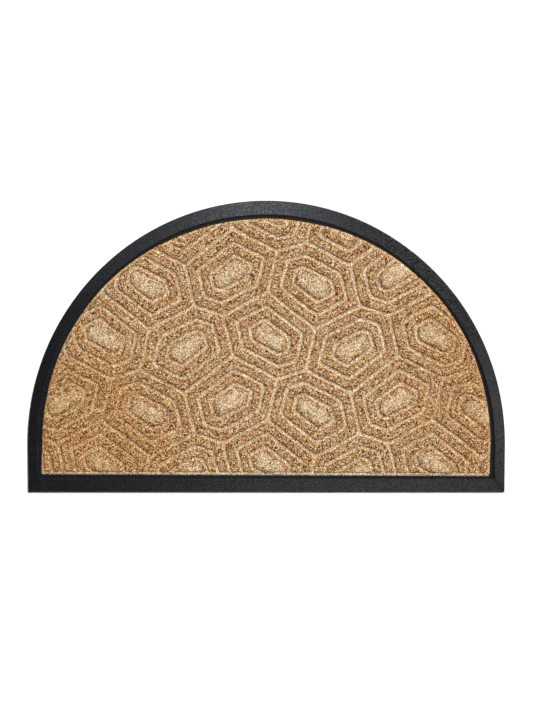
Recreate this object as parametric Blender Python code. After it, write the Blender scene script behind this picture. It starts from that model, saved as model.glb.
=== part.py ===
"""Half-round doormat: a moulded rubber tray with a raised border, and an embossed felt panel laid in it.

Metres, +Z up. The mat lies on the ground. X runs along the straight edge and +Y points to the top of
the arc. The origin is on the ground, half way along the mat's width and half way along its depth.
"""

import math
from collections import namedtuple

import bmesh
import bpy

MM = 0.001

# Outline of the mat: half an ellipse on top of two short straight sides
MAT_WIDTH = 0.750
ARC_RISE = 0.381
SPRING_HEIGHT = 0.077
SIDE_DRAW_IN = 0.8 * MM
MAT_CORNER_RADIUS = 1.5 * MM
MAT_DEPTH = SPRING_HEIGHT + ARC_RISE
ARC_STEPS = 96
CORNER_STEPS = 3
SMALLEST_CORNER = 0.5 * MM

# Recess of the tray, which holds the panel
RECESS_RADIUS = 0.3575
RECESS_BASE = 0.0225
RECESS_CORNER_RADIUS = 2.5 * MM
TRAY_FLOOR = 2.2 * MM

# Section of the tray from its underside, round the border and down to the floor of the recess. Each corner
# follows the mat's outline or the recess's, lies that far from it towards the border's middle, and has
# its height
Corner = namedtuple("Corner", "follows away height")
TRAY_SECTION = (
    Corner("mat", 0.6 * MM, 0.0),
    Corner("mat", 0.0, 0.6 * MM),
    Corner("mat", 0.0, 2.2 * MM),
    Corner("mat", 0.3 * MM, 2.7 * MM),
    Corner("mat", 1.1 * MM, 3.1 * MM),
    Corner("recess", 3.4 * MM, 5.7 * MM),
    Corner("recess", 1.8 * MM, 6.0 * MM),
    Corner("recess", 0.7 * MM, 5.8 * MM),
    Corner("recess", 0.2 * MM, 5.1 * MM),
    Corner("recess", 0.0, TRAY_FLOOR),
)

# Panel of felt: its outline, the pressed rim round it and its thickness
PANEL_RADIUS = 0.3518
SHOULDER_SWELL = 2.4 * MM
PANEL_BASE = 0.0266
PANEL_CORNER_RADIUS = 3.5 * MM
PANEL_BASE_SLOPE = -0.004
PANEL_BASE_SHIFT = -1.5 * MM
PANEL_SEAT_GAP = 0.3 * MM
PANEL_UNDERSIDE = TRAY_FLOOR + PANEL_SEAT_GAP
RIM_WIDTH = 4.6 * MM
RIM_TOP = 4.9 * MM
RIM_ROUNDING = 0.6 * MM
GROOVE_FLOOR = 5.1 * MM
RELIEF = 2.1 * MM
PAD_CROWN = 0.5 * MM

# Waviness of the panel's cut edge round the arc: waves in the half circle, size and phase
EDGE_WAVES = (
    (5, 0.45 * MM, 0.6),
    (11, 0.30 * MM, 2.1),
    (23, 0.20 * MM, 4.0),
)

# The embossed repeat of four irregular hexagons: its size, where its half-turn centre lies from the middle
# of the mat's straight edge, and the two corners that give all the others by half turns and glides
REPEAT_WIDTH = 0.260
REPEAT_HEIGHT = 0.200
REPEAT_CENTRE = (-0.0900, 0.2850)
SHORT_SIDE_CORNER = (0.0225, -0.0075)
LONG_SIDE_CORNER = (0.0375, -0.0710)

# Grooves and bands of each hexagon, measured across
GROOVE_WIDTH = 3.6 * MM
WALL_RUN = 1.2 * MM
OUTER_BAND = 12.5 * MM
INNER_BAND = 11.0 * MM
PAD_SHOULDER = 5.0 * MM

# The block that carries the relief reaches past the panel on every side before it is cut to the outline
BLOCK_MARGIN = 0.075
BLOCK_UNDERSIDE = -5.0 * MM
REPEATS_EACH_WAY = 3
WELD_DISTANCE = 0.1 * MM
MASK_TOP = 12.0 * MM

# Colour and roughness of the two materials
RUBBER = ((0.024, 0.027, 0.032), 0.62)
FELT = ((0.42, 0.26, 0.12), 0.95)


def clear_scene():
    for item in list(bpy.data.objects):
        bpy.data.objects.remove(item, do_unlink=True)


def new_collection(name):
    collection = bpy.data.collections.new(name)
    bpy.context.scene.collection.children.link(collection)
    return collection


def new_material(name, colour, roughness):
    material = bpy.data.materials.new(name)
    material.use_nodes = True
    shader = material.node_tree.nodes["Principled BSDF"]
    shader.inputs["Base Color"].default_value = (*colour, 1.0)
    shader.inputs["Roughness"].default_value = roughness
    shader.inputs["Metallic"].default_value = 0.0
    return material


def object_from(bm, name, collection, material=None):
    bmesh.ops.recalc_face_normals(bm, faces=bm.faces)
    mesh = bpy.data.meshes.new(name)
    bm.to_mesh(mesh)
    bm.free()
    if material:
        mesh.materials.append(material)
    item = bpy.data.objects.new(name, mesh)
    collection.objects.link(item)
    return item


def arc_points(centre, radii, start, end, steps):
    """Points on an arc of an ellipse, both ends included."""
    turns = [start + (end - start) * step / steps for step in range(steps + 1)]
    return [(centre[0] + radii[0] * math.cos(t), centre[1] + radii[1] * math.sin(t)) for t in turns]


def half_round(half_width, rise, base, corner_radius, draw_in=0.0, base_slope=0.0, base_shift=0.0):
    """Outline of a half-round, anticlockwise from the right end of the arc, as (x, y) from the straight edge.

    draw_in is how far the sides lean in at the bottom. base_slope tilts the bottom edge, and base_shift
    moves it sideways.
    """
    points = arc_points((0.0, SPRING_HEIGHT), (half_width, rise), 0.0, math.pi, ARC_STEPS)
    corner = half_width - draw_in - corner_radius
    for side, first_turn in ((-1, math.pi), (1, 1.5 * math.pi)):
        middle = (side * corner + base_shift, base + corner_radius + base_slope * side * corner)
        radii = (corner_radius, corner_radius)
        points += arc_points(middle, radii, first_turn, first_turn + math.pi / 2, CORNER_STEPS)
    return points


def mat_outline(inset):
    half_width = MAT_WIDTH / 2 - inset
    return half_round(half_width, ARC_RISE - inset, inset, MAT_CORNER_RADIUS, draw_in=SIDE_DRAW_IN)


def recess_outline(outset):
    radius = RECESS_RADIUS + outset
    return half_round(radius, radius, RECESS_BASE - outset, RECESS_CORNER_RADIUS + max(outset, 0.0))


def panel_outline(inset):
    """The panel's cut edge: a half-round that is fuller at its shoulders and wanders a little."""
    radius = PANEL_RADIUS - inset
    corner = max(PANEL_CORNER_RADIUS - inset, SMALLEST_CORNER)
    points = half_round(
        radius, radius, PANEL_BASE + inset, corner, base_slope=PANEL_BASE_SLOPE, base_shift=PANEL_BASE_SHIFT
    )
    for step in range(ARC_STEPS + 1):
        x, y = points[step]
        turn = math.pi * step / ARC_STEPS
        swell = SHOULDER_SWELL * math.sin(2 * turn) ** 2
        drift = sum(size * math.sin(waves * turn + phase) for waves, size, phase in EDGE_WAVES)
        scale = 1.0 + (swell + drift * math.sin(turn)) / radius
        points[step] = (x * scale, SPRING_HEIGHT + (y - SPRING_HEIGHT) * scale)
    return points


def loft(rings):
    """A closed solid through outlines of one point count, each given with its height, capped at both ends."""
    bm = bmesh.new()
    loops = []
    for outline, height in rings:
        loops.append([bm.verts.new((x, y - MAT_DEPTH / 2, height)) for x, y in outline])
    for lower, upper in zip(loops, loops[1:]):
        for i in range(len(lower)):
            bm.faces.new((lower[i - 1], lower[i], upper[i], upper[i - 1]))
    bm.faces.new(loops[0])
    bm.faces.new(loops[-1])
    return bm


def make_tray(collection):
    """One moulded piece: a thin floor and a border that rises from its outer edge to a rounded crest."""
    outlines = {"mat": mat_outline, "recess": recess_outline}
    rings = [(outlines[corner.follows](corner.away), corner.height) for corner in TRAY_SECTION]
    return object_from(loft(rings), "rubber_tray", collection, new_material("rubber", *RUBBER))


def repeat_places(point):
    """The four places of a point in one repeat: as it is, after a half turn, and after the two glides."""
    x, y = point
    across, up = REPEAT_WIDTH / 2, REPEAT_HEIGHT / 2
    return ((x, y), (-x, -y), (across - x, up + y), (across + x, up - y))


def first_hexagon():
    """Corners of one hexagon of the repeat, from its half-turn centre."""
    short_here, short_turned, short_glide, _ = repeat_places(SHORT_SIDE_CORNER)
    long_here, long_turned, long_glide, _ = repeat_places(LONG_SIDE_CORNER)
    long_above = (long_here[0], long_here[1] + REPEAT_HEIGHT)
    return (long_turned, long_above, short_glide, long_glide, short_here, short_turned)


def hexagons():
    """Every hexagon that the block needs, as corners from the middle of the straight edge."""
    reach = PANEL_RADIUS + BLOCK_MARGIN
    top = SPRING_HEIGHT + reach
    placed = [repeat_places(corner) for corner in first_hexagon()]
    repeats = range(-REPEATS_EACH_WAY, REPEATS_EACH_WAY + 1)
    for column in repeats:
        for row in repeats:
            shift_x = REPEAT_CENTRE[0] + column * REPEAT_WIDTH
            shift_y = REPEAT_CENTRE[1] + row * REPEAT_HEIGHT
            for kind in range(len(placed[0])):
                corners = [(places[kind][0] + shift_x, places[kind][1] + shift_y) for places in placed]
                middle_x = sum(x for x, _ in corners) / len(corners)
                middle_y = sum(y for _, y in corners) / len(corners)
                if abs(middle_x) < reach and -BLOCK_MARGIN < middle_y < top:
                    yield corners


def hexagon_steps():
    """Insets that shape a hexagon from its outer line to its centre pad: width across and rise."""
    steps = [(GROOVE_WIDTH / 2, 0.0)]
    for band in (OUTER_BAND, INNER_BAND):
        steps += [(WALL_RUN, RELIEF), (band, 0.0), (WALL_RUN, -RELIEF), (GROOVE_WIDTH, 0.0)]
    return steps + [(WALL_RUN, RELIEF), (PAD_SHOULDER, PAD_CROWN)]


def make_relief_block(collection, material):
    """A block whose top is the embossed relief: bands and pads stand above the grooves between them."""
    bm = bmesh.new()
    for corners in hexagons():
        bm.faces.new([bm.verts.new((x, y - MAT_DEPTH / 2, GROOVE_FLOOR)) for x, y in corners])
    bmesh.ops.remove_doubles(bm, verts=bm.verts, dist=WELD_DISTANCE)
    for face in bm.faces:
        face.normal_update()
        if face.normal.z < 0:
            face.normal_flip()
    tops = list(bm.faces)
    for across, rise in hexagon_steps():
        bmesh.ops.inset_individual(bm, faces=tops, thickness=across, depth=rise, use_even_offset=True)
    rim = [edge for edge in bm.edges if edge.is_boundary]
    skirt = bmesh.ops.extrude_edge_only(bm, edges=rim)["geom"]
    for corner in (item for item in skirt if isinstance(item, bmesh.types.BMVert)):
        corner.co.z = BLOCK_UNDERSIDE
    lowest = [edge for edge in bm.edges if edge.is_boundary]
    bmesh.ops.edgeloop_fill(bm, edges=lowest)
    return object_from(bm, "carpet_panel", collection, material)


def make_panel_mask(collection):
    """The space that the panel may fill: its outline up to the pressed rim, and a smaller one above it."""
    inner = RIM_WIDTH + WALL_RUN
    rings = [
        (panel_outline(0.0), PANEL_UNDERSIDE),
        (panel_outline(0.0), RIM_TOP - RIM_ROUNDING),
        (panel_outline(RIM_ROUNDING), RIM_TOP),
        (panel_outline(RIM_WIDTH), RIM_TOP),
        (panel_outline(inner), RIM_TOP + RELIEF),
        (panel_outline(inner), MASK_TOP),
    ]
    mask = object_from(loft(rings), "panel_outline_mask", collection)
    mask.hide_render = True
    mask.display_type = "WIRE"
    return mask


def make_panel(collection, cutters):
    """The felt panel: the relief block cut to the panel's outline, with a pressed rim all round."""
    panel = make_relief_block(collection, new_material("carpet_felt", *FELT))
    cut = panel.modifiers.new("cut to outline", "BOOLEAN")
    cut.operation = "INTERSECT"
    cut.solver = "EXACT"
    cut.object = make_panel_mask(cutters)
    return panel


def main():
    clear_scene()
    parts = new_collection("half_round_doormat")
    cutters = new_collection("cutters")
    make_tray(parts)
    make_panel(parts, cutters)


main()
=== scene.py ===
"""The half-round doormat as it looks: an embossed felt panel lying in its moulded rubber tray.

Everything is in metres, in the frame of the CAD solids: the middle of the mat is at the origin and its
straight edge is at the lowest y. The panel is pressed from a flat cut sheet by one rule, and short needled
fibres in four shades lie on it.
"""

import math
from collections import namedtuple

import bmesh
import bpy
import numpy as np
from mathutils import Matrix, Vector
from mathutils.geometry import delaunay_2d_cdt


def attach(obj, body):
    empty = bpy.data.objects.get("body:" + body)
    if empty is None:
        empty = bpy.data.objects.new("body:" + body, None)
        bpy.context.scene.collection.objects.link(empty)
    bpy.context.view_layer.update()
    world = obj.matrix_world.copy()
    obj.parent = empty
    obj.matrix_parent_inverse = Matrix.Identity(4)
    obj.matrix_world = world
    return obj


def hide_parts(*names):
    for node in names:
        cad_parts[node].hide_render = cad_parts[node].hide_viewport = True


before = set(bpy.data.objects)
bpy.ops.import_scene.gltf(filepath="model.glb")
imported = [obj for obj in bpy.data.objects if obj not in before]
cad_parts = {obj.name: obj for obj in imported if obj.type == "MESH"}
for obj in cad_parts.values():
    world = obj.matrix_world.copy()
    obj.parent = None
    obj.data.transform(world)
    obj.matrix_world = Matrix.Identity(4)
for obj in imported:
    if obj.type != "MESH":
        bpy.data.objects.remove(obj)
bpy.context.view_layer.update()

MM = 0.001

# The mat's outline, as in the solids.
MAT_DEPTH = 0.458
SPRING_HEIGHT = 0.077

# The panel's cut edge, as in the solids, and the sheet that it was cut from. An edge wave is given by how
# many of it go round a full circle, its size and its phase.
PANEL_RADIUS = 0.3518
ARC_SWELL = 2.4 * MM
PANEL_BASE = 0.0266
PANEL_CORNER_RADIUS = 3.5 * MM
SMALLEST_CORNER = 0.5 * MM
PANEL_BASE_SLOPE = -0.004
PANEL_BASE_SHIFT = -1.5 * MM
PANEL_UNDERSIDE = 2.5 * MM
EDGE_WAVES = ((5, 0.45 * MM, 0.6), (11, 0.30 * MM, 2.1), (23, 0.20 * MM, 4.0))
PANEL_CUT_AREA = 0.231
ARC_STEPS = 288
CORNER_STEPS = 5
BASE_STEPS = 200

# The repeat of nested hexagons, as in the solids: four hexagons by half turn and glide.
REPEAT = np.array((0.260, 0.200))
REPEAT_CENTRE = np.array((-0.0900, 0.2850 - MAT_DEPTH / 2))
SHORT_SIDE_CORNER = np.array((0.0225, -0.0075))
LONG_SIDE_CORNER = np.array((0.0375, -0.0710))
FIRST_LINE = 18.5 * MM
SECOND_LINE = 35.5 * MM
CORNER_SOFTNESS = 1.3 * MM
Place = namedtuple("Place", "flip shift")
REPEAT_PLACES = (
    Place((1, 1), (0.0, 0.0)),
    Place((-1, -1), (0.0, 0.0)),
    Place((-1, 1), (0.5, 0.5)),
    Place((1, -1), (0.5, 0.5)),
)
REPEATS_EACH_WAY = 3
FURTHEST_HEXAGON = (0.44, 0.30)

# The plan's mesh lines: distances from a groove's middle, depths on the pad, distances from the cut edge,
# how far apart points lie along a line, and how far past the edge the lines still go. A ring is found by
# halving, from a fine round of turns. Lines whose middles agree to a tenth of a millimetre are one line, and
# points nearer than the merging distance are one point.
LINES_FROM_GROOVE = tuple(x * MM for x in (1.2, 1.9, 2.3, 2.7, 3.1, 3.6, 4.5, 6.2))
LINES_ON_PAD = tuple(x * MM for x in (45.0, 48.0))
LINES_FROM_EDGE = tuple(x * MM for x in (0.5, 1.1, 2.0, 3.2, 4.2, 4.8, 5.3, 5.8, 6.4, 7.4, 9.0))
POINT_SPACING = 3.5 * MM
PAST_EDGE = 3.0 * MM
PLAN_SIDES = PANEL_RADIUS + 0.01
PLAN_BOTTOM, PLAN_TOP = -0.210, 0.205
FEWEST_RING_POINTS = 12
FURTHEST_RING = 0.2
RING_HALVINGS = 28
RING_TURNS = 1441
LINE_KEYS_FOR_EACH_METRE = 5000
MERGED_MM = 0.02

# How the pattern is pressed in: heights, with the share of the lumps that is left in a groove, then widths
# across, and last how far the lines wander. Noise keeps near its middle, so the wander is enlarged.
GROOVE_FLOOR = 5.3 * MM
RIM_TOP = 4.9 * MM
RELIEF = 1.6 * MM
BAND_CROWN = 0.25 * MM
PAD_CROWN = 0.45 * MM
LUMP_HEIGHT = 0.22 * MM
SWELL_HEIGHT = 0.5 * MM
LUMPS_IN_GROOVE = 0.25
EDGE_DROP = 0.9 * MM
BASE_RIM_WIDTH = 4.8 * MM
ARC_RIM_WIDTH = 2.4 * MM
RIM_WAVE = 1.6 * MM
GROOVE_HALF_WIDTH = 1.8 * MM
WALL_RUN = 1.5 * MM
WALL_WAVE = 0.7 * MM
WANDER = 0.9 * MM
WANDER_GAIN = 4.0
PRESS_SEED = 7.0

# Where those heights come in and fade out.
BASE_RIM_FADE = (-0.198, -0.188)
LEVEL_RUN = 9.0 * MM
CROWN_RUN = 5.0 * MM
PAD_RUN = (2.5 * MM, 11.0 * MM)
EDGE_ROUNDING = 1.6 * MM
CLEAR_SOFTNESS = 1.6 * MM
WANDER_RUN = (2.0 * MM, 18.0 * MM)

# Paleness of pressed felt: in a groove up to a share of its wall, on the rim and on a pad.
GROOVE_PALE_START = -0.2 * MM
GROOVE_PALE_WALL = 0.95
ARC_RIM_PALENESS = 0.15
BASE_RIM_PALENESS = 0.55
PAD_PALENESS = 0.95
PAD_PALE_RUN = (3.0 * MM, 13.0 * MM)

# Painted shade: a darker line along the top of each wall, on both sides of a groove, that stands in for shade
# at the groove's edges. Where it starts, is strongest and ends.
SHOULDER_START = 0.6 * MM
SHOULDER_PEAK = 0.7 * MM
SHOULDER_END = 2.8 * MM
SHOULDER_PAINTED_SHADE = 0.45

# Where the felt is worn: the middle, how fast it fades across and up, and how much. Then the distances at
# which it starts to fade and is gone, and how unevenly.
WORN_PLACES = (
    ((-0.315, -0.150, 0.0), (1.0, 1.25, 0.0), 1.0),
    ((0.390, -0.020, 0.0), (1.2, 0.8, 0.0), 0.8),
)
WORN_REACH = (0.10, 0.27)
WORN_DRIFT = 0.10

# The pattern is palest round this place, and dulls away from it.
FRESH_MIDDLE = (0.070, 0.010, 0.0)
FRESH_STRETCH = (1.0, 1.25, 0.0)
FRESH_REACH = (0.05, 0.30)

# What wear and dulling take away, as shares.
WORN_RELIEF = 0.20
WORN_GROOVES, DULL_GROOVES = 0.50, 0.35
WORN_RIM = 0.5
WORN_PADS, DULL_PADS = 0.35, 0.10
WORN_CONTRAST = 0.18
WORN_TINT = 0.25

# Soft unevenness: size of its lumps, detail, roughness of the detail, and seed. The press adds its own seed.
Grain = namedtuple("Grain", "size detail roughness seed")
RIM_WAVES = Grain(22 * MM, 1.0, 0.5, 0)
WALL_WAVES = Grain(9 * MM, 1.0, 0.5, 3)
LUMPS = Grain(4.5 * MM, 2.0, 0.5, 5)
SWELLS = Grain(30 * MM, 1.0, 0.5, 6)
WANDER_ACROSS = Grain(45 * MM, 1.0, 0.5, 8)
WANDER_UP = Grain(45 * MM, 1.0, 0.5, 9)
WORN_DRIFTS = Grain(90 * MM, 1.0, 0.5, 2)
FELT_PATCHES = Grain(6 * MM, 2.0, 0.5, 4)
FELT_NAP = Grain(1.1 * MM, 3.0, 0.6, 9)
RUBBER_GRAIN = Grain(1.5 * MM, 2.0, 0.5, 1)
RUBBER_SPECKS = Grain(2.2 * MM, 2.0, 0.6, 5)
RUBBER_CLOUDS = Grain(26 * MM, 3.0, 0.5, 2)
RUBBER_DUST = Grain(2.4 * MM, 3.0, 0.65, 3)
FLOOR_CLOUDS = Grain(0.4, 2.0, 0.5, 0)

# The fibres: how many of a shade lie on the panel, how they favour dark and pale felt, and the darkest and
# lightest colour of the shade, as on a screen.
Shade = namedtuple("Shade", "name count on_dark on_pale seed darkest lightest")
FIBRE_SHADES = (
    Shade("felt_fibres_dark", 30000, 1.1, 0.35, 11, (14, 2, 0), (50, 17, 2)),
    Shade("felt_fibres_brown", 28000, 1.05, 0.50, 23, (92, 43, 6), (132, 74, 22)),
    Shade("felt_fibres_tan", 28000, 1.0, 0.90, 37, (184, 137, 68), (214, 177, 108)),
    Shade("felt_fibres_cream", 30000, 0.8, 1.45, 51, (230, 209, 164), (247, 240, 211)),
)
FIBRE_LENGTH = 1.7 * MM
FIBRE_THICKNESS = 0.60 * MM
FIBRE_BEND = 0.25 * MM
FIBRE_TILT = 0.35
FIBRE_SPREAD = {"X": (0.55, 1.35), "Y": (0.6, 1.3), "Z": (0.5, 1.3)}
FIBRE_SIDES = 3
FACING_UP = 0.9

# The felt's flecks, and the dyes of raised and pressed felt from the darkest fleck to the lightest.
FLECK_SIZE = 0.95 * MM
FLECK_JITTER = 1.2 * MM
JITTER_NOISE = {"Scale": 700.0, "Detail": 1.0}
MIDDLE_OF_NOISE = (0.5, 0.5, 0.5)
PATCH_CONTRAST = 0.2
RAISED_DYES = (
    (0.00, (14, 2, 0)),
    (0.27, (38, 11, 1)),
    (0.37, (120, 63, 12)),
    (0.64, (170, 114, 47)),
    (0.75, (233, 208, 161)),
    (1.00, (245, 236, 208)),
)
PRESSED_DYES = (
    (0.00, (66, 34, 10)),
    (0.22, (118, 80, 42)),
    (0.34, (187, 162, 123)),
    (0.66, (207, 186, 149)),
    (0.78, (247, 241, 219)),
    (1.00, (252, 248, 233)),
)
REDDER = (252, 238, 226)
GREYER = (245, 242, 237)
# Painted shade: the reddish brown that the shade line along the groove walls multiplies in.
SHOULDER_PAINTED_SHADE_COLOUR = (220, 174, 134)
WORN_COLOUR = (253, 238, 208)
FLECK_HEIGHT = 0.5
FELT_BUMP = {"Strength": 0.9, "Distance": 0.6 * MM}
FELT_FINISH = {
    "Roughness": 0.95,
    "Sheen Weight": 0.04,
    "Sheen Roughness": 0.6,
    "Specular IOR Level": 0.05,
    "Subsurface Weight": 0.4,
    "Subsurface Radius": (1.0, 0.45, 0.2),
    "Subsurface Scale": 1.6 * MM,
}
FIBRE_FINISH = {"Roughness": 0.8, "Specular IOR Level": 0.06}

# The rubber's pebbled skin, and the clouds, specks and dust on it. A run is the part of a noise that counts.
# The one for clouds ends with the least and the most dust that they hold.
PEBBLE_SIZE = 2.6 * MM
PEBBLE_SMOOTHNESS = 0.6
PEBBLE_HEIGHT, GRAIN_HEIGHT = -0.8, 0.7
RUBBER_BUMP = {"Strength": 0.6, "Distance": 0.32 * MM}
RUBBER_FINISH = {"Specular IOR Level": 0.33}
RUBBER_DARK, RUBBER_LIGHT, DUST_COLOUR = (4, 7, 12), (8, 12, 18), (70, 73, 78)
DUST_SHARE = 0.3
DUST_RUN = (0.48, 0.78)
DUSTY_CLOUDS = (0.35, 0.7, 0.4, 1.0)
SPECK_RUN = (0.38, 0.62)
LEAST_ROUGHNESS, CLOUD_ROUGHNESS, SPECK_ROUGHNESS = 0.14, 0.07, 0.16

# The camera, straight above the mat.
PHOTO_HEIGHT = 711
METRES_FOR_EACH_PIXEL = 1.5687 * MM
CAMERA_OVER = (0.0003, -0.0143)
LENS = 85.0
SENSOR = 36.0
SURFACE_HEIGHT = 6.0 * MM
CLIP_END = 100.0

# The lamps, which all point at the mat: place, width and depth, power and colour. The key is a wide sun.
Lamp = namedtuple("Lamp", "name place size power colour")
SOFT_LAMPS = (
    Lamp("upper", (-0.05, 1.36, 2.75), (0.34, 0.6), 8.2, (0.86, 0.93, 1.0)),
    Lamp("upper_wide", (-0.36, 1.45, 2.75), (2.5, 0.5), 8.0, (0.86, 0.93, 1.0)),
    Lamp("right", (1.65, -0.12, 2.60), (0.7, 0.8), 5.5, (1.0, 0.98, 0.96)),
    Lamp("lower", (0.36, -1.40, 2.70), (1.22, 0.6), 5.8, (1.0, 0.99, 0.99)),
    Lamp("overhead", (0.05, 0.0, 2.95), (1.1, 0.9), 2.2, (0.98, 0.99, 1.0)),
)
KEY_FROM = (0.88, 1.06, 1.20)
KEY_STRENGTH = 4.3
KEY_SPREAD = 12.0
KEY_COLOUR = (1.0, 0.98, 0.95)
STUDIO_COLOUR = (1.0, 0.92, 0.83, 1.0)
STUDIO_STRENGTH = 0.24

# The floor: how far out its rings lie, where it stops being flat, how high its far edge is, and its tones.
FLOOR_RINGS = (2.0, 3.0, 4.5, 6.5, 9.0, 12.0, 16.0, 20.0, 25.0, 30.0, 36.0)
FLOOR_FLAT = 3.0
FLOOR_RISE = 5.2
FLOOR_SIDES = 72
FLOOR_TONES = ((246, 246, 246), (250, 250, 250))
FLOOR_FINISH = {"Roughness": 0.9}


# Node trees.


class Socket:
    """One output of a node. The operators on it add Math nodes to its tree."""

    def __init__(self, tree, socket):
        self.tree, self.socket = tree, socket

    def maths(self, operation, *values):
        return self.tree.node("ShaderNodeMath", {"operation": operation}, dict(enumerate(values)))

    def __add__(self, other):
        return self.maths("ADD", self, other)

    def __radd__(self, other):
        return self.maths("ADD", other, self)

    def __sub__(self, other):
        return self.maths("SUBTRACT", self, other)

    def __rsub__(self, other):
        return self.maths("SUBTRACT", other, self)

    def __mul__(self, other):
        return self.maths("MULTIPLY", self, other)

    def __rmul__(self, other):
        return self.maths("MULTIPLY", other, self)

    def __truediv__(self, other):
        return self.maths("DIVIDE", self, other)

    def __rtruediv__(self, other):
        return self.maths("DIVIDE", other, self)

    def __pow__(self, other):
        return self.maths("POWER", self, other)

    def __abs__(self):
        return self.maths("ABSOLUTE", self)

    def __gt__(self, other):
        return self.maths("GREATER_THAN", self, other)

    def least(self, other):
        return self.maths("MINIMUM", self, other)

    def most(self, other):
        return self.maths("MAXIMUM", self, other)

    def rounded_least(self, other, softness):
        return self.maths("SMOOTH_MIN", self, other, softness)

    def eased(self, low, high, start=0.0, end=1.0):
        """Runs smoothly from start at low to end at high, and stays level beyond."""
        inputs = dict(enumerate((self, low, high, start, end)))
        return self.tree.node("ShaderNodeMapRange", {"interpolation_type": "SMOOTHSTEP"}, inputs)


class Tree:
    """A node tree, with one method that adds any node to it."""

    def __init__(self, tree):
        self.tree = tree

    def node(self, kind, settings=None, inputs=None, output=0):
        """Adds a node, with its settings and then its inputs, and gives one of its outputs."""
        node = self.tree.nodes.new(kind)
        for name, value in (settings or {}).items():
            if name == "stops":
                self.set_stops(node.color_ramp, value)
            else:
                setattr(node, name, value)
        for name, value in (inputs or {}).items():
            self.feed(node.inputs[name], value)
        return None if output is None else Socket(self, node.outputs[output])

    def feed(self, target, value):
        if isinstance(value, Socket):
            self.tree.links.new(value.socket, target)
        else:
            target.default_value = value

    def set_stops(self, ramp, stops):
        ramp.interpolation = "LINEAR"
        while len(ramp.elements) < len(stops):
            ramp.elements.new(1.0)
        for element, (position, colour) in zip(ramp.elements, stops):
            element.position = position
            element.color = from_screen(colour)

    def other_output(self, socket, name):
        return Socket(self, socket.socket.node.outputs[name])

    def vector(self, operation, *values):
        return self.node("ShaderNodeVectorMath", {"operation": operation}, dict(enumerate(values)))

    def distance(self, place, middle, stretch):
        """How far a place is from a middle, with each axis stretched by its own factor."""
        away = self.vector("MULTIPLY", self.vector("SUBTRACT", place, middle), stretch)
        return self.node("ShaderNodeVectorMath", {"operation": "LENGTH"}, {0: away}, output=1)

    def mixed(self, factor, first, second, blend="MIX"):
        """Mixes two colours."""
        settings = {"data_type": "RGBA", "blend_type": blend, "clamp_factor": True}
        return self.node("ShaderNodeMix", settings, {0: factor, 6: first, 7: second}, output=2)

    def ramp(self, tone, stops):
        return self.node("ShaderNodeValToRGB", {"stops": stops}, {0: tone})

    def noise(self, place, grain, seed=None):
        """Soft noise from 0 to 1. The grain's own seed holds unless another is given."""
        return self.node("ShaderNodeTexNoise", {"noise_dimensions": "4D"}, {
            "Vector": place,
            "W": grain.seed if seed is None else seed,
            "Scale": 1.0 / grain.size,
            "Detail": grain.detail,
            "Roughness": grain.roughness,
        })

    def uneven(self, place, grain, amount, seed=None):
        """Soft unevenness, from minus half the amount to plus half of it."""
        return (self.noise(place, grain, seed) - 0.5) * amount


class NodeGroup(Tree):
    """A Geometry Nodes tree whose sizes are named inputs."""

    def __init__(self, name, sizes):
        super().__init__(bpy.data.node_groups.new(name, "GeometryNodeTree"))
        self.sizes = sizes
        face = self.tree.interface
        face.new_socket("Geometry", in_out="INPUT", socket_type="NodeSocketGeometry")
        for label, value in sizes.items():
            kind = "NodeSocketInt" if isinstance(value, int) else "NodeSocketFloat"
            face.new_socket(label, in_out="INPUT", socket_type=kind)
        face.new_socket("Geometry", in_out="OUTPUT", socket_type="NodeSocketGeometry")
        self.start = self.node("NodeGroupInput")

    def given(self, label):
        return self.other_output(self.start, label)

    def attribute(self, name):
        return self.node("GeometryNodeInputNamedAttribute", {"data_type": "FLOAT"}, {"Name": name})

    def position(self):
        return self.node("GeometryNodeInputPosition")

    def stored(self, geometry, name, value, domain="POINT"):
        settings = {"data_type": "FLOAT", "domain": domain}
        inputs = {"Geometry": geometry, "Name": name, "Value": value}
        return self.node("GeometryNodeStoreNamedAttribute", settings, inputs)

    def moved(self, geometry, offset):
        return self.node("GeometryNodeSetPosition", None, {"Geometry": geometry, "Offset": offset})

    def chance(self, low, high, salt, seed):
        """A different number for each point or instance."""
        inputs = {2: low, 3: high, "Seed": seed + salt}
        return self.node("FunctionNodeRandomValue", {"data_type": "FLOAT"}, inputs, output=1)

    def close(self, geometry, material):
        """Ends the tree: real geometry, then its material."""
        real = self.node("GeometryNodeRealizeInstances", None, {"Geometry": geometry})
        finished = self.node("GeometryNodeSetMaterial", None, {"Geometry": real, "Material": material})
        self.node("NodeGroupOutput", None, {"Geometry": finished}, output=None)

    def applied_to(self, mesh, name):
        """A plain mesh object: what the tree makes of that mesh with its named sizes."""
        carrier = bpy.data.objects.new(name + "_carrier", mesh)
        bpy.context.scene.collection.objects.link(carrier)
        modifier = carrier.modifiers.new("nodes", "NODES")
        modifier.node_group = self.tree
        for item in self.tree.interface.items_tree:
            if item.in_out == "INPUT" and item.name in self.sizes:
                modifier[item.identifier] = self.sizes[item.name]
        graph = bpy.context.evaluated_depsgraph_get()
        made = bpy.data.meshes.new_from_object(
            carrier.evaluated_get(graph), preserve_all_data_layers=True, depsgraph=graph
        )
        carrier.modifiers.remove(modifier)
        bpy.data.objects.remove(carrier)
        made.name = name
        return place_object(name, made)


def place_object(name, data):
    item = bpy.data.objects.new(name, data)
    bpy.context.scene.collection.objects.link(item)
    return item


# The pattern.


def first_hexagon():
    """Corners of one hexagon of the repeat, from its half-turn centre."""
    half = REPEAT / 2
    mirror = np.array((-1, 1))
    return np.array((
        -LONG_SIDE_CORNER,
        LONG_SIDE_CORNER + (0.0, REPEAT[1]),
        half + mirror * SHORT_SIDE_CORNER,
        half + mirror * LONG_SIDE_CORNER,
        SHORT_SIDE_CORNER,
        -SHORT_SIDE_CORNER,
    ))


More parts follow.
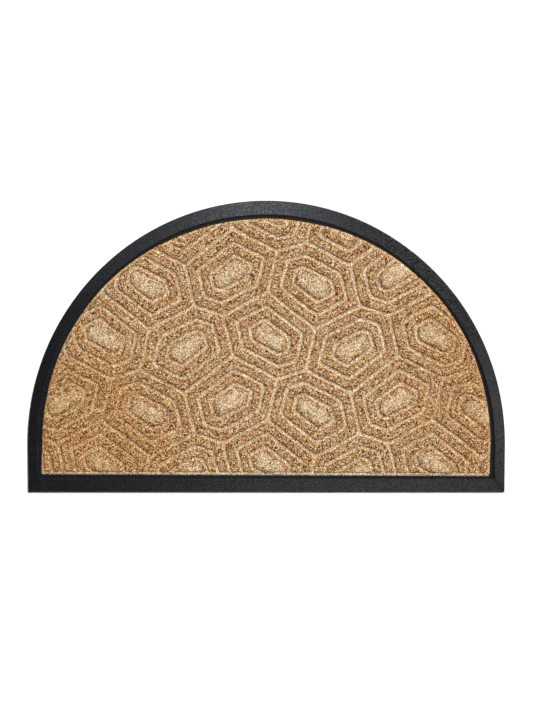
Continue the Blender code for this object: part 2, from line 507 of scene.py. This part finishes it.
def depth_in_hexagon(points, corners):
    """How far inside the hexagon each point is, with the corners a little rounded."""
    along = np.roll(corners, -1, axis=0) - corners
    along /= np.linalg.norm(along, axis=1)[:, None]
    inward = np.column_stack((-along[:, 1], along[:, 0]))
    middle = corners.mean(axis=0)
    inward *= np.sign(((middle - corners) * inward).sum(axis=1))[:, None]
    depths = points @ inward.T - (corners * inward).sum(axis=1)
    least = depths.min(axis=1)
    return least - CORNER_SOFTNESS * np.log(np.exp((least[:, None] - depths) / CORNER_SOFTNESS).sum(axis=1))


def hexagon_places():
    """Every place of the first hexagon that reaches the panel: how it is flipped, and its shift."""
    middle = first_hexagon().mean(axis=0)
    repeats = range(-REPEATS_EACH_WAY, REPEATS_EACH_WAY + 1)
    for column in repeats:
        for row in repeats:
            for place in REPEAT_PLACES:
                flip = np.array(place.flip)
                shift = REPEAT_CENTRE + REPEAT * (np.array(place.shift) + (column, row))
                if (abs(flip * middle + shift) < FURTHEST_HEXAGON).all():
                    yield flip, shift


def depth_in_pattern(points):
    corners = first_hexagon()
    depths = [depth_in_hexagon(flip * (points - shift), corners) for flip, shift in hexagon_places()]
    return np.max(depths, axis=0)


def ring_in_hexagon(depth, turns):
    """The points at one depth in the first hexagon, in these directions from its middle."""
    corners = first_hexagon()
    middle = corners.mean(axis=0)
    away = np.column_stack((np.cos(turns), np.sin(turns)))
    near = np.zeros(len(turns))
    far = np.full(len(turns), FURTHEST_RING)
    for _ in range(RING_HALVINGS):
        between = (near + far) / 2
        inside = depth_in_hexagon(middle + between[:, None] * away, corners) > depth
        near = np.where(inside, between, near)
        far = np.where(inside, far, between)
    return middle + near[:, None] * away


def even_turns(depth):
    """Directions that lie evenly along the ring at that depth."""
    fine = np.linspace(0.0, 2 * math.pi, RING_TURNS)
    line = ring_in_hexagon(depth, fine)
    length = np.concatenate(((0.0,), np.linalg.norm(np.diff(line, axis=0), axis=1).cumsum()))
    count = max(FEWEST_RING_POINTS, round(length[-1] / POINT_SPACING))
    return np.interp(np.arange(count) / count * length[-1], length, fine)


def rings_of_one_hexagon():
    """Closed mesh lines inside the first hexagon."""
    for middle, sides in ((0.0, (1,)), (FIRST_LINE, (-1, 1)), (SECOND_LINE, (-1, 1))):
        turns = even_turns(max(middle, LINES_FROM_GROOVE[0]))
        if middle:
            yield ring_in_hexagon(middle, turns)
        for side in sides:
            for away in LINES_FROM_GROOVE:
                yield ring_in_hexagon(middle + side * away, turns)
    for between in (FIRST_LINE / 2, (FIRST_LINE + SECOND_LINE) / 2, *LINES_ON_PAD):
        yield ring_in_hexagon(between, even_turns(between))


def outer_lines():
    """The straight lines between hexagons, each once, as points."""
    corners = first_hexagon()
    seen = set()
    for flip, shift in hexagon_places():
        placed = flip * corners + shift
        for start, end in zip(placed, np.roll(placed, -1, axis=0)):
            key = tuple(np.round((start + end) * LINE_KEYS_FOR_EACH_METRE).astype(int))
            if key in seen:
                continue
            seen.add(key)
            count = max(2, round(np.linalg.norm(end - start) / POINT_SPACING) + 1)
            yield start + np.linspace(0.0, 1.0, count)[:, None] * (end - start)


# The panel.


def panel_outline(inset=0.0):
    """The cut edge, or a line that far inside it, anticlockwise from the right end of the arc."""
    radius = PANEL_RADIUS - inset
    turn = np.linspace(0.0, math.pi, ARC_STEPS + 1)
    drift = sum(size * np.sin(waves * turn + phase) for waves, size, phase in EDGE_WAVES)
    reach = radius + ARC_SWELL * np.sin(2 * turn) ** 2 + drift * np.sin(turn)
    parts = [np.column_stack((np.cos(turn) * reach, SPRING_HEIGHT + np.sin(turn) * reach))]
    rounding = max(PANEL_CORNER_RADIUS - inset, SMALLEST_CORNER)
    corner = radius - rounding
    for side, first_turn in ((-1, math.pi), (1, 1.5 * math.pi)):
        turn = np.linspace(first_turn, first_turn + math.pi / 2, CORNER_STEPS + 1)
        x = side * corner + PANEL_BASE_SHIFT
        y = PANEL_BASE + inset + rounding + PANEL_BASE_SLOPE * side * corner
        parts.append(np.column_stack((x + rounding * np.cos(turn), y + rounding * np.sin(turn))))
    start, end = parts[1][-1], parts[2][0]
    straight = start + np.linspace(0, 1, BASE_STEPS + 1)[1:-1, None] * (end - start)
    points = np.vstack((parts[0], parts[1], straight, parts[2]))
    return points - (0.0, MAT_DEPTH / 2)


def depth_in_panel(points):
    """Distance from the cut edge, positive inside the panel."""
    line = panel_outline()
    after = np.roll(line, -1, axis=0)
    along = after - line
    found = np.full(len(points), np.inf)
    crossings = np.zeros(len(points), int)
    for start, step, end in zip(line, along, after):
        away = points - start
        share = np.clip(away @ step / (step @ step), 0.0, 1.0)
        found = np.minimum(found, np.linalg.norm(away - share[:, None] * step, axis=1))
        spans = (start[1] > points[:, 1]) != (end[1] > points[:, 1])
        if step[1]:
            crossings += spans & (away[:, 0] < step[0] * away[:, 1] / step[1])
    return np.where(crossings % 2 == 1, found, -found)


def near_panel(line):
    x, y = line[:, 0], line[:, 1]
    return abs(x).min() <= PLAN_SIDES and y.max() >= PLAN_BOTTOM and y.min() <= PLAN_TOP


def plan_lines():
    """All the mesh lines of the flat plan: (points, closed)."""
    for inset in (0.0, *LINES_FROM_EDGE):
        yield panel_outline(inset), True
    rings = list(rings_of_one_hexagon())
    for flip, shift in hexagon_places():
        for ring in rings:
            if near_panel(flip * ring + shift):
                yield flip * ring + shift, True
    for line in outer_lines():
        if near_panel(line):
            yield line, False


def flat_plan():
    """The panel's upper face as flat triangles that follow the pattern's lines and the cut edge."""
    points, edges = [], []
    count = 0
    for line, closed in plan_lines():
        here = np.arange(len(line))
        pairs = np.column_stack((here, np.roll(here, -1)))
        points.append(line)
        edges.append((pairs if closed else pairs[:-1]) + count)
        count += len(line)
    points = np.vstack(points)
    edges = np.vstack(edges)
    wanted = depth_in_panel(points) > -PAST_EDGE
    edges = edges[wanted[edges].all(axis=1)]
    edges = (np.cumsum(wanted) - 1)[edges]
    corners = [Vector(p) for p in points[wanted] / MM]
    made = delaunay_2d_cdt(corners, [tuple(int(i) for i in e) for e in edges], [], 0, MERGED_MM)
    verts = np.array([tuple(v) for v in made[0]]) * MM
    faces = np.array(made[2])
    inside = depth_in_panel(verts[faces].mean(axis=1)) > 0
    used, faces = np.unique(faces[inside], return_inverse=True)
    verts, faces = verts[used], faces.reshape(-1, 3)
    along, across = (verts[faces[:, corner]] - verts[faces[:, 0]] for corner in (1, 2))
    clockwise = along[:, 0] * across[:, 1] < along[:, 1] * across[:, 0]
    faces[clockwise] = faces[clockwise][:, ::-1]
    return verts, faces


def cut_edge(faces):
    """The numbers of the points round the edge of a flat sheet, in order, anticlockwise."""
    steps = set(zip(faces.ravel().tolist(), np.roll(faces, -1, axis=1).ravel().tolist()))
    following = {start: end for start, end in steps if (end, start) not in steps}
    edge = [min(following)]
    while following[edge[-1]] != edge[0]:
        edge.append(following[edge[-1]])
    return edge


def set_numbers(mesh, name, values):
    mesh.attributes.new(name, "FLOAT", "POINT").data.foreach_set("value", np.asarray(values, np.float32))


def panel_plan():
    """The plan as a closed mesh: flat on top, with its cut sides and its underside.

    Its faces point outwards once the tree has lifted the top above the underside.
    """
    verts, faces = flat_plan()
    edge = cut_edge(faces)
    under = range(len(verts), len(verts) + len(edge))
    sides = [(edge[i], edge[i - 1], under[i - 1], under[i]) for i in range(len(edge))]
    places = np.vstack((verts, verts[edge]))
    on_top = np.arange(len(places)) < len(verts)
    heights = np.where(on_top, 0.0, PANEL_UNDERSIDE)
    mesh = bpy.data.meshes.new("panel_plan")
    mesh.from_pydata(np.column_stack((places, heights)).tolist(), [], [*faces.tolist(), *sides, under[::-1]])
    set_numbers(mesh, "pattern_depth", depth_in_pattern(places))
    set_numbers(mesh, "rim_depth", np.maximum(depth_in_panel(places), 0.0))
    set_numbers(mesh, "face_up", on_top)
    return mesh


def press_tree(felt):
    """Presses the grooves and the rim into the flat plan, and leaves the bands and pads standing."""
    nodes = NodeGroup("press_pattern", {
        "First line": FIRST_LINE,
        "Second line": SECOND_LINE,
        "Groove half width": GROOVE_HALF_WIDTH,
        "Wall run": WALL_RUN,
        "Base rim width": BASE_RIM_WIDTH,
        "Arc rim width": ARC_RIM_WIDTH,
        "Rim top": RIM_TOP,
        "Groove floor": GROOVE_FLOOR,
        "Relief": RELIEF,
        "Band crown": BAND_CROWN,
        "Pad crown": PAD_CROWN,
        "Lump height": LUMP_HEIGHT,
        "Swell height": SWELL_HEIGHT,
        "Wander": WANDER,
        "Seed": PRESS_SEED,
    })
    given = nodes.given
    place = nodes.position()
    depth = nodes.attribute("pattern_depth")
    rim = nodes.attribute("rim_depth")
    up = nodes.attribute("face_up")
    worn = worn_felt(nodes, place)
    dull = dulled_felt(nodes, place)

    def waves(grain, amount):
        return nodes.uneven(place, grain, amount, given("Seed") + grain.seed)

    past_first = depth - given("First line")
    past_second = depth - given("Second line")
    from_groove = abs(depth).least(abs(past_first)).least(abs(past_second)) - given("Groove half width")
    y = nodes.node("ShaderNodeSeparateXYZ", None, {0: place}, output=1)
    at_base = y.eased(*BASE_RIM_FADE, 1.0, 0.0)
    rim_width = given("Arc rim width") + (given("Base rim width") - given("Arc rim width")) * at_base
    rim_width = rim_width + waves(RIM_WAVES, RIM_WAVE)
    from_rim = rim - rim_width
    clear = from_groove.rounded_least(from_rim, CLEAR_SOFTNESS)
    wall = given("Wall run") + waves(WALL_WAVES, WALL_WAVE)

    rise = clear.eased(0.0, wall)
    height = given("Relief") * rise * (1 - WORN_RELIEF * worn)
    height = height + given("Band crown") * clear.eased(0.0, CROWN_RUN)
    height = height + given("Pad crown") * past_second.eased(*PAD_RUN)
    lumps = waves(LUMPS, given("Lump height")) + waves(SWELLS, given("Swell height"))
    height = height + lumps * (LUMPS_IN_GROOVE + (1 - LUMPS_IN_GROOVE) * rise)
    level = rim.eased(rim_width, LEVEL_RUN, given("Rim top"), given("Groove floor"))
    edge = rim.eased(0.0, EDGE_ROUNDING, -EDGE_DROP, 0.0)
    wander = rim.eased(*WANDER_RUN) * given("Wander") * up
    offset = nodes.node("ShaderNodeCombineXYZ", None, {
        "X": waves(WANDER_ACROSS, wander) * WANDER_GAIN,
        "Y": waves(WANDER_UP, wander) * WANDER_GAIN,
        "Z": (level + height + edge) * up,
    })

    groove_pale = from_groove.eased(GROOVE_PALE_START, wall * GROOVE_PALE_WALL, 1.0, 0.0)
    groove_pale = groove_pale * (1 - WORN_GROOVES * worn) * (1 - DULL_GROOVES * dull)
    rim_paleness = ARC_RIM_PALENESS + BASE_RIM_PALENESS * at_base * (1 - WORN_RIM * worn)
    rim_pale = from_rim.eased(0.0, wall, 1.0, 0.0) * rim_paleness
    pad_pale = past_second.eased(*PAD_PALE_RUN) * (PAD_PALENESS - WORN_PADS * worn - DULL_PADS * dull)
    # Painted shade: a darker band along the top of each wall, on both sides, standing in for shade at the
    # groove's edges.
    peak = wall + SHOULDER_PEAK
    shoulder = clear.eased(SHOULDER_START, peak) * clear.eased(peak, wall + SHOULDER_END, 1.0, 0.0)

    sheet = given("Geometry")
    sheet = nodes.stored(sheet, "pale", groove_pale.most(rim_pale).most(pad_pale))
    sheet = nodes.stored(sheet, "shoulder", shoulder)
    sheet = nodes.moved(sheet, offset)
    sheet = nodes.node("GeometryNodeSetShadeSmooth", None, {"Geometry": sheet, "Shade Smooth": True})
    nodes.close(sheet, felt)
    return nodes


def worn_felt(nodes, place):
    """Where the pattern is pressed less and the felt is browner: 1 at the lower left, less at the right."""
    drift = nodes.uneven(place, WORN_DRIFTS, WORN_DRIFT)
    found = []
    for middle, stretch, strength in WORN_PLACES:
        away = nodes.distance(place, middle, stretch)
        found.append((away + drift).eased(*WORN_REACH, strength, 0.0))
    return found[0].most(found[1])


def dulled_felt(nodes, place):
    """How far the pattern has dulled: 0 near the fresh middle, 1 far from it."""
    return nodes.distance(place, FRESH_MIDDLE, FRESH_STRETCH).eased(*FRESH_REACH)


# The fibres.


def fibre_tree(shade, material, area):
    """Lays short fibres of one shade over the pressed panel, bent so that their ends stand up."""
    nodes = NodeGroup("lay_" + shade.name, {
        "Fibres for each square metre": shade.count / area,
        "On dark felt": shade.on_dark,
        "On pale felt": shade.on_pale,
        "Length": FIBRE_LENGTH,
        "Thickness": FIBRE_THICKNESS,
        "Bend": FIBRE_BEND,
        "Tilt": FIBRE_TILT,
        "Seed": shade.seed,
    })
    given = nodes.given
    seed = given("Seed")

    shape = {"Segments": FIBRE_SIDES, "Rings": 2, "Radius": 0.5}
    fibre = nodes.node("GeometryNodeMeshUVSphere", None, shape)
    stretch = nodes.node("ShaderNodeCombineXYZ", None, {
        "X": given("Thickness"), "Y": given("Thickness"), "Z": given("Length"),
    })
    fibre = nodes.node("GeometryNodeTransform", None, {"Geometry": fibre, "Scale": stretch})
    lying = (0.0, math.pi / 2, 0.0)
    fibre = nodes.node("GeometryNodeTransform", None, {"Geometry": fibre, "Rotation": lying})
    x = nodes.node("ShaderNodeSeparateXYZ", None, {0: nodes.position()})
    arch = given("Bend") * ((x / (given("Length") / 2)) ** 2 - 1)
    fibre = nodes.moved(fibre, nodes.node("ShaderNodeCombineXYZ", None, {"Z": arch}))

    pale = nodes.attribute("pale")
    weight = given("On dark felt") * (1 - pale) + given("On pale felt") * pale
    points = nodes.node("GeometryNodeDistributePointsOnFaces", {"distribute_method": "RANDOM"}, {
        "Mesh": given("Geometry"),
        "Selection": nodes.attribute("face_up") > FACING_UP,
        "Density": given("Fibres for each square metre") * weight,
        "Seed": seed,
    })
    turn = nodes.node("ShaderNodeCombineXYZ", None, {
        "Y": nodes.chance(-1.0, 1.0, 1, seed) * given("Tilt"),
        "Z": nodes.chance(0.0, 2 * math.pi, 2, seed),
    })
    turn = nodes.node("FunctionNodeEulerToRotation", None, {0: turn})
    upright = nodes.other_output(points, "Rotation")
    turned = nodes.node("FunctionNodeRotateRotation", {"rotation_space": "LOCAL"}, {0: upright, 1: turn})
    size = nodes.node("ShaderNodeCombineXYZ", None, {
        axis: nodes.chance(*spread, salt, seed) for salt, (axis, spread) in enumerate(FIBRE_SPREAD.items(), 3)
    })
    laid = nodes.node("GeometryNodeInstanceOnPoints", None, {
        "Points": points, "Instance": fibre, "Rotation": turned, "Scale": size,
    })
    laid = nodes.stored(laid, "shade", nodes.chance(0.0, 1.0, 6, seed), domain="INSTANCE")
    nodes.close(laid, material)
    return nodes


# Materials.


def from_screen(colour):
    """A colour as a screen shows it, 0 to 255, in the numbers that light adds up in: the screen's curve."""
    shares = [c / 255 for c in colour]
    return (*(c / 12.92 if c <= 0.04045 else ((c + 0.055) / 1.055) ** 2.4 for c in shares), 1.0)


def new_material(name, finish):
    """A material with one Principled shader, whose even values are set on its own sockets."""
    material = bpy.data.materials.new(name)
    material.use_nodes = True
    nodes = Tree(material.node_tree)
    shader = material.node_tree.nodes["Principled BSDF"]
    for label, value in finish.items():
        shader.inputs[label].default_value = value
    place = nodes.node("ShaderNodeTexCoord", output="Object")
    return material, nodes, shader, place


def stored_number(nodes, name):
    return nodes.node("ShaderNodeAttribute", {"attribute_name": name}, output="Fac")


def felt_material():
    """Heathered needled felt: tan with dark, brown and cream flecks, paler where it is pressed, with painted
    shade along the tops of the groove walls.
    """
    material, nodes, shader, place = new_material("heathered_felt", FELT_FINISH)
    jitter = nodes.node("ShaderNodeTexNoise", None, {**JITTER_NOISE, "Vector": place}, output="Color")
    jitter = {"Vector": nodes.vector("SUBTRACT", jitter, MIDDLE_OF_NOISE), "Scale": FLECK_JITTER}
    jitter = nodes.node("ShaderNodeVectorMath", {"operation": "SCALE"}, jitter)
    cells = {"Vector": nodes.vector("ADD", place, jitter), "Scale": 1 / FLECK_SIZE}
    cells = nodes.node("ShaderNodeTexVoronoi", None, cells, output="Color")
    fleck = nodes.node("ShaderNodeSeparateColor", None, {0: cells})
    dye = nodes.other_output(fleck, "Green")

    worn = worn_felt(nodes, place)
    tone = (fleck - 0.5) * (1 - WORN_CONTRAST * worn) + 0.5
    tone = tone + nodes.uneven(place, FELT_PATCHES, PATCH_CONTRAST)
    # Painted shade along the tops of the groove walls, multiplied into the dyes.
    shade = stored_number(nodes, "shoulder") * SHOULDER_PAINTED_SHADE
    colour = nodes.mixed(shade, nodes.ramp(tone, RAISED_DYES), from_screen(SHOULDER_PAINTED_SHADE_COLOUR), blend="MULTIPLY")
    colour = nodes.mixed(stored_number(nodes, "pale"), colour, nodes.ramp(tone, PRESSED_DYES))
    dyed = nodes.mixed(dye, from_screen(REDDER), from_screen(GREYER))
    colour = nodes.mixed(1.0, colour, dyed, blend="MULTIPLY")
    colour = nodes.mixed(worn * WORN_TINT, colour, from_screen(WORN_COLOUR), blend="MULTIPLY")
    nodes.feed(shader.inputs["Base Color"], colour)

    height = fleck * FLECK_HEIGHT + nodes.noise(place, FELT_NAP)
    nodes.feed(shader.inputs["Normal"], nodes.node("ShaderNodeBump", None, {**FELT_BUMP, "Height": height}))
    return material


def fibre_material(shade):
    """One dyed shade of fibre, a little different from fibre to fibre."""
    material, nodes, shader, place = new_material(shade.name, FIBRE_FINISH)
    darkest, lightest = from_screen(shade.darkest), from_screen(shade.lightest)
    colour = nodes.mixed(stored_number(nodes, "shade"), darkest, lightest)
    worn = worn_felt(nodes, place)
    colour = nodes.mixed(worn * WORN_TINT, colour, from_screen(WORN_COLOUR), blend="MULTIPLY")
    nodes.feed(shader.inputs["Base Color"], colour)
    return material


def rubber_material():
    """Moulded rubber with a fine pebble, uneven gloss and a little dust in it."""
    material, nodes, shader, place = new_material("pebbled_rubber", RUBBER_FINISH)
    cloud = nodes.noise(place, RUBBER_CLOUDS)
    speck = nodes.noise(place, RUBBER_SPECKS).eased(*SPECK_RUN)
    dust = nodes.noise(place, RUBBER_DUST).eased(*DUST_RUN) * cloud.eased(*DUSTY_CLOUDS)
    colour = nodes.mixed(cloud, from_screen(RUBBER_DARK), from_screen(RUBBER_LIGHT))
    colour = nodes.mixed(dust * DUST_SHARE, colour, from_screen(DUST_COLOUR))
    nodes.feed(shader.inputs["Base Color"], colour)
    roughness = LEAST_ROUGHNESS + CLOUD_ROUGHNESS * cloud + SPECK_ROUGHNESS * speck
    nodes.feed(shader.inputs["Roughness"], roughness)

    pebble = {"Vector": place, "Scale": 1 / PEBBLE_SIZE, "Smoothness": PEBBLE_SMOOTHNESS}
    pebble = nodes.node("ShaderNodeTexVoronoi", {"feature": "SMOOTH_F1"}, pebble)
    height = pebble * PEBBLE_HEIGHT + nodes.noise(place, RUBBER_GRAIN) * GRAIN_HEIGHT
    nodes.feed(shader.inputs["Normal"], nodes.node("ShaderNodeBump", None, {**RUBBER_BUMP, "Height": height}))
    return material


def floor_material():
    material, nodes, shader, place = new_material("pale_floor", FLOOR_FINISH)
    tones = [from_screen(tone) for tone in FLOOR_TONES]
    nodes.feed(shader.inputs["Base Color"], nodes.mixed(nodes.noise(place, FLOOR_CLOUDS), *tones))
    return material


# Camera, light and floor.


def make_camera():
    """Straight above the mat, with the straight edge towards the lower side of the picture."""
    camera = place_object("camera", bpy.data.cameras.new("camera"))
    camera.data.lens = LENS
    camera.data.sensor_width = SENSOR
    camera.data.clip_end = CLIP_END
    distance = PHOTO_HEIGHT * METRES_FOR_EACH_PIXEL * LENS / SENSOR
    camera.location = (*CAMERA_OVER, SURFACE_HEIGHT + distance)
    bpy.context.scene.camera = camera


def hang(name, light, place):
    """Hangs a lamp at its place and points it at the middle of the mat."""
    lamp = place_object(name, light)
    lamp.location = place
    lamp.rotation_mode = "QUATERNION"
    lamp.rotation_quaternion = (-Vector(place)).to_track_quat("-Z", "Y")


def make_light():
    """Five soft lamps that give the border its sheen, a wide sun from the upper right, and a dim studio."""
    for lamp in SOFT_LAMPS:
        light = bpy.data.lights.new(lamp.name, "AREA")
        light.shape = "RECTANGLE"
        light.size, light.size_y = lamp.size
        light.energy = lamp.power
        light.color = lamp.colour
        hang(lamp.name, light, lamp.place)
    key = bpy.data.lights.new("key", "SUN")
    key.energy = KEY_STRENGTH
    key.angle = math.radians(KEY_SPREAD)
    key.color = KEY_COLOUR
    hang("key", key, KEY_FROM)
    studio = bpy.data.worlds.new("studio")
    studio.use_nodes = True
    background = studio.node_tree.nodes["Background"]
    background.inputs["Color"].default_value = STUDIO_COLOUR
    background.inputs["Strength"].default_value = STUDIO_STRENGTH
    bpy.context.scene.world = studio
    bpy.context.scene.view_settings.view_transform = "Standard"


def lay_floor():
    """A round pale floor, flat under the mat, that rises very gently to its far edge as its own backdrop."""
    bm = bmesh.new()
    turns = [2 * math.pi * step / FLOOR_SIDES for step in range(FLOOR_SIDES)]
    rings = []
    for reach in FLOOR_RINGS:
        height = FLOOR_RISE * (max(reach - FLOOR_FLAT, 0.0) / (FLOOR_RINGS[-1] - FLOOR_FLAT)) ** 2
        rings.append([bm.verts.new((reach * math.cos(t), reach * math.sin(t), height)) for t in turns])
    bm.faces.new(rings[0])
    for inner, outer in zip(rings, rings[1:]):
        for step in range(FLOOR_SIDES):
            after = (step + 1) % FLOOR_SIDES
            bm.faces.new((inner[step], outer[step], outer[after], inner[after]))
    for face in bm.faces:
        face.smooth = True
    mesh = bpy.data.meshes.new("floor")
    bm.to_mesh(mesh)
    bm.free()
    mesh.materials.append(floor_material())
    place_object("floor", mesh)


# The whole.


make_camera()
lay_floor()
make_light()

panel = press_tree(felt_material()).applied_to(panel_plan(), "felt_panel")
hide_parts("carpet_panel")
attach(panel, "root")

for shade in FIBRE_SHADES:
    piece = fibre_tree(shade, fibre_material(shade), PANEL_CUT_AREA).applied_to(panel.data, shade.name)
    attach(piece, "root")

rubber = rubber_material()
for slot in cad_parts["rubber_tray"].material_slots:
    slot.material = rubber
